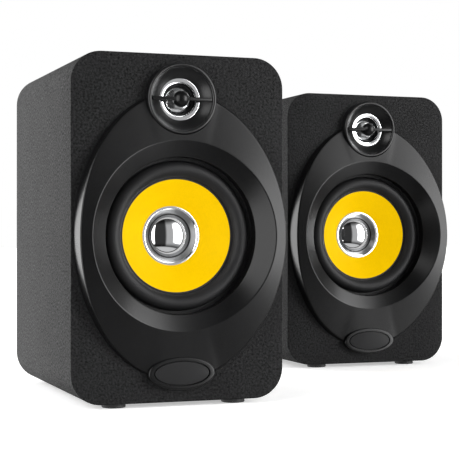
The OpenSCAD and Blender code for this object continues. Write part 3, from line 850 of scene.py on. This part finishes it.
def knob(node, start):
    """Fluted knob whose pointer starts turned to the left by start degrees."""
    at = on_panel(node) @ Matrix.Rotation(radians(start), 4, "Z")

    def flutes(angle, radius, height):
        grip = radius > 6.5 and KNOB_BASE + 2.6 < height < KNOB_TOP - 0.6
        return -0.38 * abs(sin(12 * angle)) if grip else 0

    profile = rounded([(0, KNOB_BASE + 1.7), (4.2, KNOB_BASE + 1.7), (4.2, KNOB_BASE), (8, KNOB_BASE, 0.3),
                       (8, KNOB_BASE + 1.9, 0.5), (7.35, KNOB_BASE + 2.4, 0.2), (7.3, KNOB_BASE + 3.2),
                       (6.9, KNOB_TOP - 1.2), (6.8, KNOB_TOP, 0.8), (6.0, KNOB_TOP, 0.2),
                       (5.2, KNOB_TOP - 0.5, 0.4), (0, KNOB_TOP - 0.5)], 4)
    cap = lathe(node + "_cap", profile, at, 288, smooth=40, bumps=flutes)
    finish(cap, "knob", "knob_plastic", node, body=node)
    shaft = lathe(node + "_shaft", rounded([(0, -13), (3, -13), (3, 4, 0.2), (0, 4)]), at, 48)
    finish(shaft, "nickel", "zinc_steel", body=node)
    mark = brick(node + "_mark", (-0.5, 1.6, KNOB_TOP - 0.7), (0.5, 5.4, KNOB_TOP - 0.35), at, 0.12)
    finish(mark, "print", "knob_plastic", body=node)


def panel_print():
    """White tick marks round each knob and a plain line frame round the sockets."""
    start_r, sunk, thick = 10.2, -0.02, 0.06
    frame_x, frame_y, line = 16, 11, 0.4
    parts = []
    for node in KNOBS:
        for k in range(11):
            turned = on_panel(node) @ Matrix.Rotation(radians(150 - 30 * k), 4, "Z")
            end_r = start_r + (2.6 if k in (0, 5, 10) else 1.6)
            parts.append(brick("tick", (-0.25, start_r, sunk), (0.25, end_r, thick), turned, 0.03))
    jack_at = on_panel("input_jacks")
    for low, high in (((-frame_x, -frame_y), (frame_x, line - frame_y)),
                      ((-frame_x, frame_y - line), (frame_x, frame_y)),
                      ((-frame_x - line, -frame_y), (-frame_x, frame_y)),
                      ((frame_x, -frame_y), (frame_x + line, frame_y))):
        parts.append(brick("line", (*low, sunk), (*high, thick), jack_at, 0.03))
    finish(merged("panel_marks", parts), "print", "plate_metal")


def input_jacks():
    """Two phono sockets: plated barrels with a coloured washer and insert."""
    at = on_panel("input_jacks")
    body = brick("jack_body", (-14, -8, -16), (14, 8, -2.1), at, 0.4)
    finish(body, "plastic", "black_plastic")
    barrels = []
    for x, tint in ((-7, "white"), (7, "red")):
        place = moved(at, x, 0)
        profile = rounded([(3.3, -2), (5, -2), (5, 1, 0.2), (4.15, 1), (4.15, 10, 0.4), (3.3, 10, 0.3)], 4)
        barrels.append(lathe("barrel", profile, place, 96))
        washer = rounded([(5.05, 0), (7, 0), (7, 0.9, 0.3), (5.05, 0.9, 0.2)], 3)
        finish(lathe("jack_washer_" + tint, washer, place, 96), tint, "jack_metal")
        insert = rounded([(1.6, -2), (3.28, -2), (3.28, 9.2, 0.3), (1.6, 9.2, 0.3)], 3)
        finish(lathe("jack_insert_" + tint, insert, place, 64), tint, "jack_metal")
    finish(merged("jack_barrels", barrels), "nickel", "jack_metal", "input_jacks")


def sideways(at):
    """Lets a profile be drawn as (up, outwards) and drawn out along the panel's width."""
    return at @ Matrix(((0, 0, 1, 0), (1, 0, 0, 0), (0, 1, 0, 0), (0, 0, 0, 1)))


def rocker():
    """Switch frame with a tub behind it, and the tilted button on its pin."""
    at = main.rear(panel_place("power_rocker")[0], panel_place("rocker_housing")[1], PLATE_T)
    housing = prism("rocker_frame", rectangle(17, 23, 1.2), 0, 1.5, at, 0.5)
    join(housing, brick("tub", (-7, -10, -14), (7, 10, 0.2), at, 0.3))
    well = brick("well", (-5.4, -7.9, -9), (5.4, 7.9, 20), at, 0.05)
    pin = cylinder(1.05, -6.3, 6.3, sideways(at), 32)
    cut(housing, well, pin)
    finish(housing, "plastic", "black_plastic", "rocker_housing")

    tilted = at @ Matrix.Rotation(radians(10), 4, "X")
    button_r = 7.6
    lower = [(x, max(y, -5)) for x, y in arc(0, 0, button_r, 202, 338, 24)]
    side = arc(0, 0, button_r, -10, 14, 5) + [(7.25, 2.3), (6.9, 2.62)]
    ridge = [(6.9 - 13.8 * k / 12, 1.2 + 1.42 * abs(1 - k / 6) ** 1.3) for k in range(1, 12)]
    profile = lower + side + ridge + [(-x, y) for x, y in reversed(side)]
    body = prism("rocker_button", profile, -5.2, 5.2, sideways(tilted), 0.35)
    join(body, cylinder(1, -6.2, 6.2, sideways(tilted), 32))
    finish(body, "knob", "black_plastic", "power_rocker", body="power_rocker")
    line = brick("rocker_line", (-0.3, 3.1, 1.7), (0.3, 5.6, 2.02), tilted, 0.05)
    finish(line, "print", "black_plastic", body="power_rocker")


def mains_inlet():
    at = on_panel("mains_inlet")
    body = prism("inlet_body", rectangle(25, 16, 1.5), 0, 1.5, at, 0.5)
    join(body, brick("shroud", (-10, -6, -18), (10, 6, 0.2), at, 0.3))
    x, y, corner = 8.2, 4.2, 4.15
    figure = rounded([(x, -y, corner), (x, y, corner), (0, y), (-x, y, corner), (-x, -y, corner), (0, -y)], 8)
    cut(body, prism("socket", figure, -12, 20, at, 0.02, 1))
    finish(body, "plastic", "black_plastic", "mains_inlet")
    pin = rounded([(0, -13), (1.2, -13), (1.2, -2, 0.5), (0, -2)])
    pins = [lathe("pin", pin, moved(at, x, 0), 40) for x in (-4, 4)]
    finish(merged("inlet_pins", pins), "nickel", "jack_metal")


# ---- spring terminals

LEVER_PITCH = 15
BLOCK_H = 11
BLOCK_SCREW_X = 20
FLANGE_T = 2


def block_u(s):
    """How far the terminal block stands to the right of the cabinet's middle, as seen from behind."""
    return (s.x - s.middle("terminal_block").x) / MM


def terminal(s, w):
    """Clamp block with two wire holes and two press levers; w is the height it stands on."""
    at = s.rear(block_u(s), s.middle("terminal_block").z, w)
    block = prism(s.side + "_terminal", rectangle(46, 26, 2), 0, FLANGE_T, at, 0.5)
    join(block, prism("body", rectangle(34, 23, 1.2), 0.1, BLOCK_H, at, 0.8),
         brick("boss", (-14.5, -8.5, -11), (14.5, 8.5, 0.5), at, 0.3))
    tools = []
    for side in (-1, 1):
        x = side * LEVER_PITCH / 2
        tools.append(brick("slot", (x - 4.6, 0.4, 1), (x + 4.6, 10.2, 20), at, 0.05))
        funnel = [(0, 3), (1.8, 3), (1.8, 9.6), (2.9, 11.2), (2.9, 20), (0, 20)]
        tools.append(lathe("funnel", funnel, moved(at, x, -WIRE_DROP), 48))
    cut(block, *tools)
    finish(block, "plastic", "black_plastic", s.side + "_terminal_block")
    for side, tint, slot in ((-1, "red", "lever_red"), (1, "black", "lever_black")):
        node = f"{s.side}_{tint}_lever"
        place = sideways(moved(at, side * LEVER_PITCH / 2, 0))
        profile = rounded([(0.9, 8, 0.3), (2.6, 7.6, 0.5), (8.6, 8.6, 0.3), (8.8, 13.2, 0.5), (7.8, 14, 0.7),
                           (6.6, 13.2, 0.4), (5.6, 13.2, 0.3), (4.8, 12.2, 0.4), (3.8, 12.3, 0.3),
                           (1, 10.6, 0.4)], 3)
        lever = prism(node + "_tab", profile, -4.4, 4.4, place, 0.3)
        join(lever, cylinder(0.8, -5.6, 5.6, moved(place, 1.8, 9), 24))
        finish(lever, "red" if tint == "red" else "knob", slot, node, body=node)


def rear_screws():
    plate_at = main.rear(0, PLATE_Z, PLATE_T)
    places = [moved(plate_at, x, y) @ Matrix.Rotation(x + 2 * y, 4, "Z") for x, y in plate_screw_places()]
    for s, w in ((main, PLATE_T), (satellite, 0)):
        at = s.rear(block_u(s), s.middle("terminal_block").z, w + FLANGE_T)
        for side in (-1, 1):
            places.append(moved(at, side * BLOCK_SCREW_X, 0) @ Matrix.Rotation(side + 2, 4, "Z"))
    obj = spread(screw("screw", 2.8, 1.8, 8, 1.5), places, "rear_screw_set")
    finish(obj, "screw", "screw_steel", "rear_screws")


# ---- cable and wadding

CORD_R = 1.25
CORD_OFFSET = 1.15
SPLIT_LENGTH = 26
WIRE_DROP = 6
TWIST_START, TWIST_LENGTH = 95, 60  # from the satellite's end


def bezier(a, b, c, d, steps):
    return [a * (1 - t) ** 3 + b * 3 * t * (1 - t) ** 2 + c * 3 * t * t * (1 - t) + d * t ** 3
            for t in np.linspace(0, 1, steps, endpoint=False)]


def socket(s):
    """The middle between a terminal block's wire holes, just outside its face."""
    middle = s.middle("terminal_block")
    face = s.high.y + (BLOCK_H + (PLATE_T if s is main else 0)) * MM
    return Vector((middle.x, face, middle.z - WIRE_DROP * MM))


def cable_path():
    """Down from the main speaker, across the floor and up to the satellite, in metres."""
    gap = Vector((0, 2, 0)) * MM
    lying = CORD_R * MM
    start, end = socket(main) + gap, socket(satellite) + gap
    down = Vector((start.x + 30 * MM, start.y + 22 * MM, lying))
    back = Vector((satellite.x - 45 * MM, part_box("link_cable")[1].y - 2 * MM, lying))
    run = Vector(((back.x - down.x) * 0.525, 0, 0))
    points = bezier(start, start + Vector((0, 22, 0)) * MM, down - Vector((24, 0, 0)) * MM, down, 60)
    points += bezier(down, down + run, back - run, back, 90)
    points += bezier(back, back + Vector((50, 0, 0)) * MM, end + Vector((0, 24, -30)) * MM, end, 60)
    return points + [end]


def tube(name, points, radius, sides=20):
    """A round tube along a path, its section carried along without twisting."""
    across = Vector((0, 0, 1))
    rings = []
    for i, point in enumerate(points):
        along = (points[min(i + 1, len(points) - 1)] - points[max(i - 1, 0)]).normalized()
        across = (across - along * across.dot(along)).normalized()
        third = along.cross(across)
        turns = [2 * pi * k / sides for k in range(sides)]
        rings.append([point + (across * cos(t) + third * sin(t)) * radius for t in turns])
    return from_rings(name, rings, Matrix.Identity(4), closed=False)


def link_cable():
    """Twin cord whose two wires part near each end and run into the terminals' holes, plus to plus."""
    path = cable_path()
    lengths = np.concatenate([[0], np.cumsum([(b - a).length for a, b in zip(path, path[1:])])])
    total = lengths[-1]
    cords = []
    for side in (-1, 1):
        points = []
        for i, point in enumerate(path):
            along = path[min(i + 1, len(path) - 1)] - path[max(i - 1, 0)]
            level = Vector((along.y, -along.x, 0)).normalized()
            rise = min(1, max(0, (lengths[i] - (total - TWIST_START * MM)) / (TWIST_LENGTH * MM)))
            twist = Matrix.Rotation(pi * eased(rise), 3, along.normalized())
            end = min(lengths[i], total - lengths[i])
            apart = eased(max(0, 1 - end / (SPLIT_LENGTH * MM)))
            reach = CORD_OFFSET + (LEVER_PITCH / 2 - CORD_OFFSET) * apart
            points.append(point + twist @ level * (side * reach * MM))
        inward = Vector((0, -6 * MM, 0))
        points = [points[0] + inward * k / 6 for k in (6, 4, 2)] + points
        points += [points[-1] + inward * k / 6 for k in (2, 4, 6)]
        cords.append(tube("cord", points, CORD_R * MM))
    finish(merged("twin_cord", cords), "sheath", "cable_sheath", "link_cable")


def scaled(vector, factors):
    return Vector([length * factor for length, factor in zip(vector, factors)])


def wadding():
    """Loose fibre pads: a fine block whose surface is pulled in by noise."""
    low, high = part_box("wadding")
    pads = []
    for s in speakers:
        edge = (low.x - main.x, high.x - satellite.x)
        corner_a = Vector((s.x + edge[0], s.low.y + low.y - main.low.y, low.z))
        depth = (high.y - satellite.low.y) - (low.y - main.low.y)
        size = Vector((edge[1] - edge[0], depth, high.z - low.z))
        bm = bmesh.new()
        bmesh.ops.create_cube(bm, size=1)
        bmesh.ops.subdivide_edges(bm, edges=bm.edges, cuts=47, use_grid_fill=True)
        for v in bm.verts:
            away = v.co.copy()
            fold = sum(max(0, abs(c) * 2 - 0.75) ** 2 for c in away)
            place = scaled(away, size) / MM
            lump = noise.noise(place / 22 + Vector((3, 7, 1))) + 0.5 * noise.noise(place / 6)
            shrink = 0.86 + 0.1 * lump - 0.55 * fold
            even = 0.96 + 0.03 * lump - 0.1 * fold
            v.co = corner_a + size / 2 + scaled(scaled(away, size), (shrink, even, even))
        pads.append(new_object("pad", bm, 80))
    finish(merged("fibre_pads", pads), "fibre", "wadding_fibre", "wadding")


# ---- CAD nodes that keep their own shape

KEPT = {
    "heat_sink": ("sink", 0.25),
    "amp_board": ("board", 0.1),
    "transformer": ("core", 0.3),
    "tweeter_capacitors": ("film", 0.4),
    "woofer_basket": ("basket", 0.25),
    "woofer_front_plate": ("zinc", 0.25),
    "woofer_magnet": ("ferrite", 0.4),
    "woofer_yoke": ("zinc", 0.3),
    "voice_coil": ("copper", 0.05),
    "tweeter_motor": ("basket", 0.25),
}


def kept_nodes():
    for part, (look, edge) in KEPT.items():
        for name in (part, *(f"{side}_{part}" for side in SIDES)):
            obj = bpy.data.objects.get(name)
            if obj is None:
                continue
            obj.data.materials.clear()
            obj.data.materials.append(MATERIALS[look])
            soften(obj, edge)


# ---- studio

CAMERA_PLACE = (-268.69, -823.57, 113.07)
CAMERA_TURN = -20.22
LENS = 104.67
CAMERA_SHIFT = 0.004


def camera():
    """The photograph's own view: level, looking past the main speaker's left side."""
    cam = in_scene("photo_camera", bpy.data.cameras.new("photo_camera"))
    cam.data.lens = LENS
    cam.data.sensor_width = 36
    cam.data.clip_start, cam.data.clip_end = 0.01, 50
    cam.location = Vector((main.x, main.low.y, 0)) + Vector(CAMERA_PLACE) * MM
    cam.rotation_euler = (radians(90), 0, radians(CAMERA_TURN))
    cam.data.shift_y = CAMERA_SHIFT
    bpy.context.scene.camera = cam


def floor():
    mesh = bpy.data.meshes.new("floor")
    reach = 8
    corners = [(-reach, -reach, 0), (reach, -reach, 0), (reach, reach, 0), (-reach, reach, 0)]
    mesh.from_pydata(corners, [], [(0, 1, 2, 3)])
    obj = in_scene("floor", mesh)
    g = Graph("pale_floor")
    g.set(Base_Color=(0.82, 0.82, 0.82, 1), Roughness=0.9, Specular_IOR_Level=0.0,
          Emission_Color=(1, 1, 1, 1), Emission_Strength=0.45)
    mesh.materials.append(g.material)
    obj.visible_glossy = False


def overhead():
    """Wide lamp above the pair, which mirrors don't show."""
    width, depth, distance, radiance = 1.2, 1.0, 1.2, 0.8
    rise = radians(88)
    away = Vector((0, -cos(rise), sin(rise)))
    data = bpy.data.lights.new("overhead", "AREA")
    data.shape = "RECTANGLE"
    data.size, data.size_y = width, depth
    data.energy = radiance * pi * width * depth
    lamp = in_scene("overhead", data)
    lamp.location = Vector((0, 0, 0.11)) + away * distance
    lamp.rotation_euler = (-away).to_track_quat("-Z", "Y").to_euler()
    lamp.visible_glossy = False


# Studio surroundings: (degrees from the front, positive to the right; brightness)
SURROUND = ((-180, 1.1), (-161, 1.3), (-152, 6.0), (-125, 6.0), (-113, 0.3), (-58, 0.04), (-5, 0.04),
            (2, 0.45), (60, 0.45), (72, 1.0), (115, 1.0), (140, 0.2), (170, 1.0), (180, 1.1))
# The surroundings fade in and out between these sines of the height, down to FADED of their brightness
SURROUND_HEIGHT = (-0.66, -0.4, 0.55, 0.85)
FADED = 0.15
TABLE_LEVEL = 0.6
# Two softboxes: brightness, then the directions they fill, as degrees round and as the sine of the height
KEY = (12.5, (22, 38, 58, 72), (-0.45, -0.2, 0.35, 0.7))
LEFT_BOX = (6.0, (-92, -87, -47, -42), (-0.5, -0.42, 0.6, 0.7))


class Sky(Tree):
    """The world's node tree, with brightness worked out from the direction."""

    def __init__(self):
        self.world = bpy.data.worlds.new("studio")
        super().__init__(self.world)
        self.background = self.nodes["Background"]
        self.background.inputs["Color"].default_value = (1, 1, 1, 1)
        split = self.nodes.new("ShaderNodeSeparateXYZ")
        self.put(split, {0: self.nodes.new("ShaderNodeTexCoord").outputs["Generated"]})
        self.x, self.y, self.z = split.outputs

    def step(self, value, start, end):
        """Goes smoothly from 0 at start to 1 at end."""
        low, high = (0, 1) if start < end else (1, 0)
        return self.range(value, low, high, min(start, end), max(start, end), smooth=True)

    def window(self, value, rise_from, rise_to, fall_from, fall_to):
        rise, fall = self.step(value, rise_from, rise_to), self.step(value, fall_to, fall_from)
        return self.math("MULTIPLY", rise, fall)


def world():
    """White to the camera; to everything else the surroundings, the two softboxes and a pale table."""
    sky = Sky()
    bpy.context.scene.world = sky.world
    forward = sky.math("MULTIPLY", sky.y, -1)
    turn = sky.math("MULTIPLY", sky.math("ARCTAN2", sky.x, forward), 180 / pi)
    ramp = sky.nodes.new("ShaderNodeValToRGB")
    stops = ramp.color_ramp.elements
    while len(stops) < len(SURROUND):
        stops.new(0.5)
    brightest = max(level for _, level in SURROUND)
    for stop, (angle, level) in zip(stops, SURROUND):
        stop.position = angle / 360 + 0.5
        stop.color = (*[level / brightest] * 3, 1)
    share = sky.math("ADD", sky.math("MULTIPLY", turn, 1 / 360), 0.5)
    sky.links.new(share, ramp.inputs["Fac"])
    table = sky.step(sky.z, -0.6, -0.66)
    fade = sky.math("MAXIMUM", sky.window(sky.z, *SURROUND_HEIGHT), FADED)
    around_level = sky.math("MULTIPLY", sky.math("MULTIPLY", ramp.outputs["Color"], brightest), fade)
    level = sky.math("MAXIMUM", around_level, sky.math("MULTIPLY", table, TABLE_LEVEL))
    for brightness, around, upwards in (KEY, LEFT_BOX):
        box = sky.math("MULTIPLY", sky.window(turn, *around), sky.window(sky.z, *upwards))
        level = sky.math("ADD", level, sky.math("MULTIPLY", box, brightness))
    seen = sky.nodes.new("ShaderNodeLightPath").outputs["Is Camera Ray"]
    mixed = sky.nodes.new("ShaderNodeMix")
    sky.put(mixed, {"Factor": seen, "A": level, "B": 1.0})
    sky.links.new(mixed.outputs["Result"], sky.background.inputs["Strength"])


for speaker in speakers:
    for build in (cabinet, bezel, surround, cone, dust_cap, spider, tweeter, port_tube):
        build(speaker)
woofer_screws()
rubber_feet()
amp_plate()
for knob_node, knob_start in KNOBS.items():
    knob(knob_node, knob_start)
panel_print()
input_jacks()
rocker()
mains_inlet()
terminal(main, PLATE_T)
terminal(satellite, 0)
rear_screws()
link_cable()
wadding()
kept_nodes()
floor()
world()
overhead()
camera()
bpy.context.scene.view_settings.view_transform = "Standard"
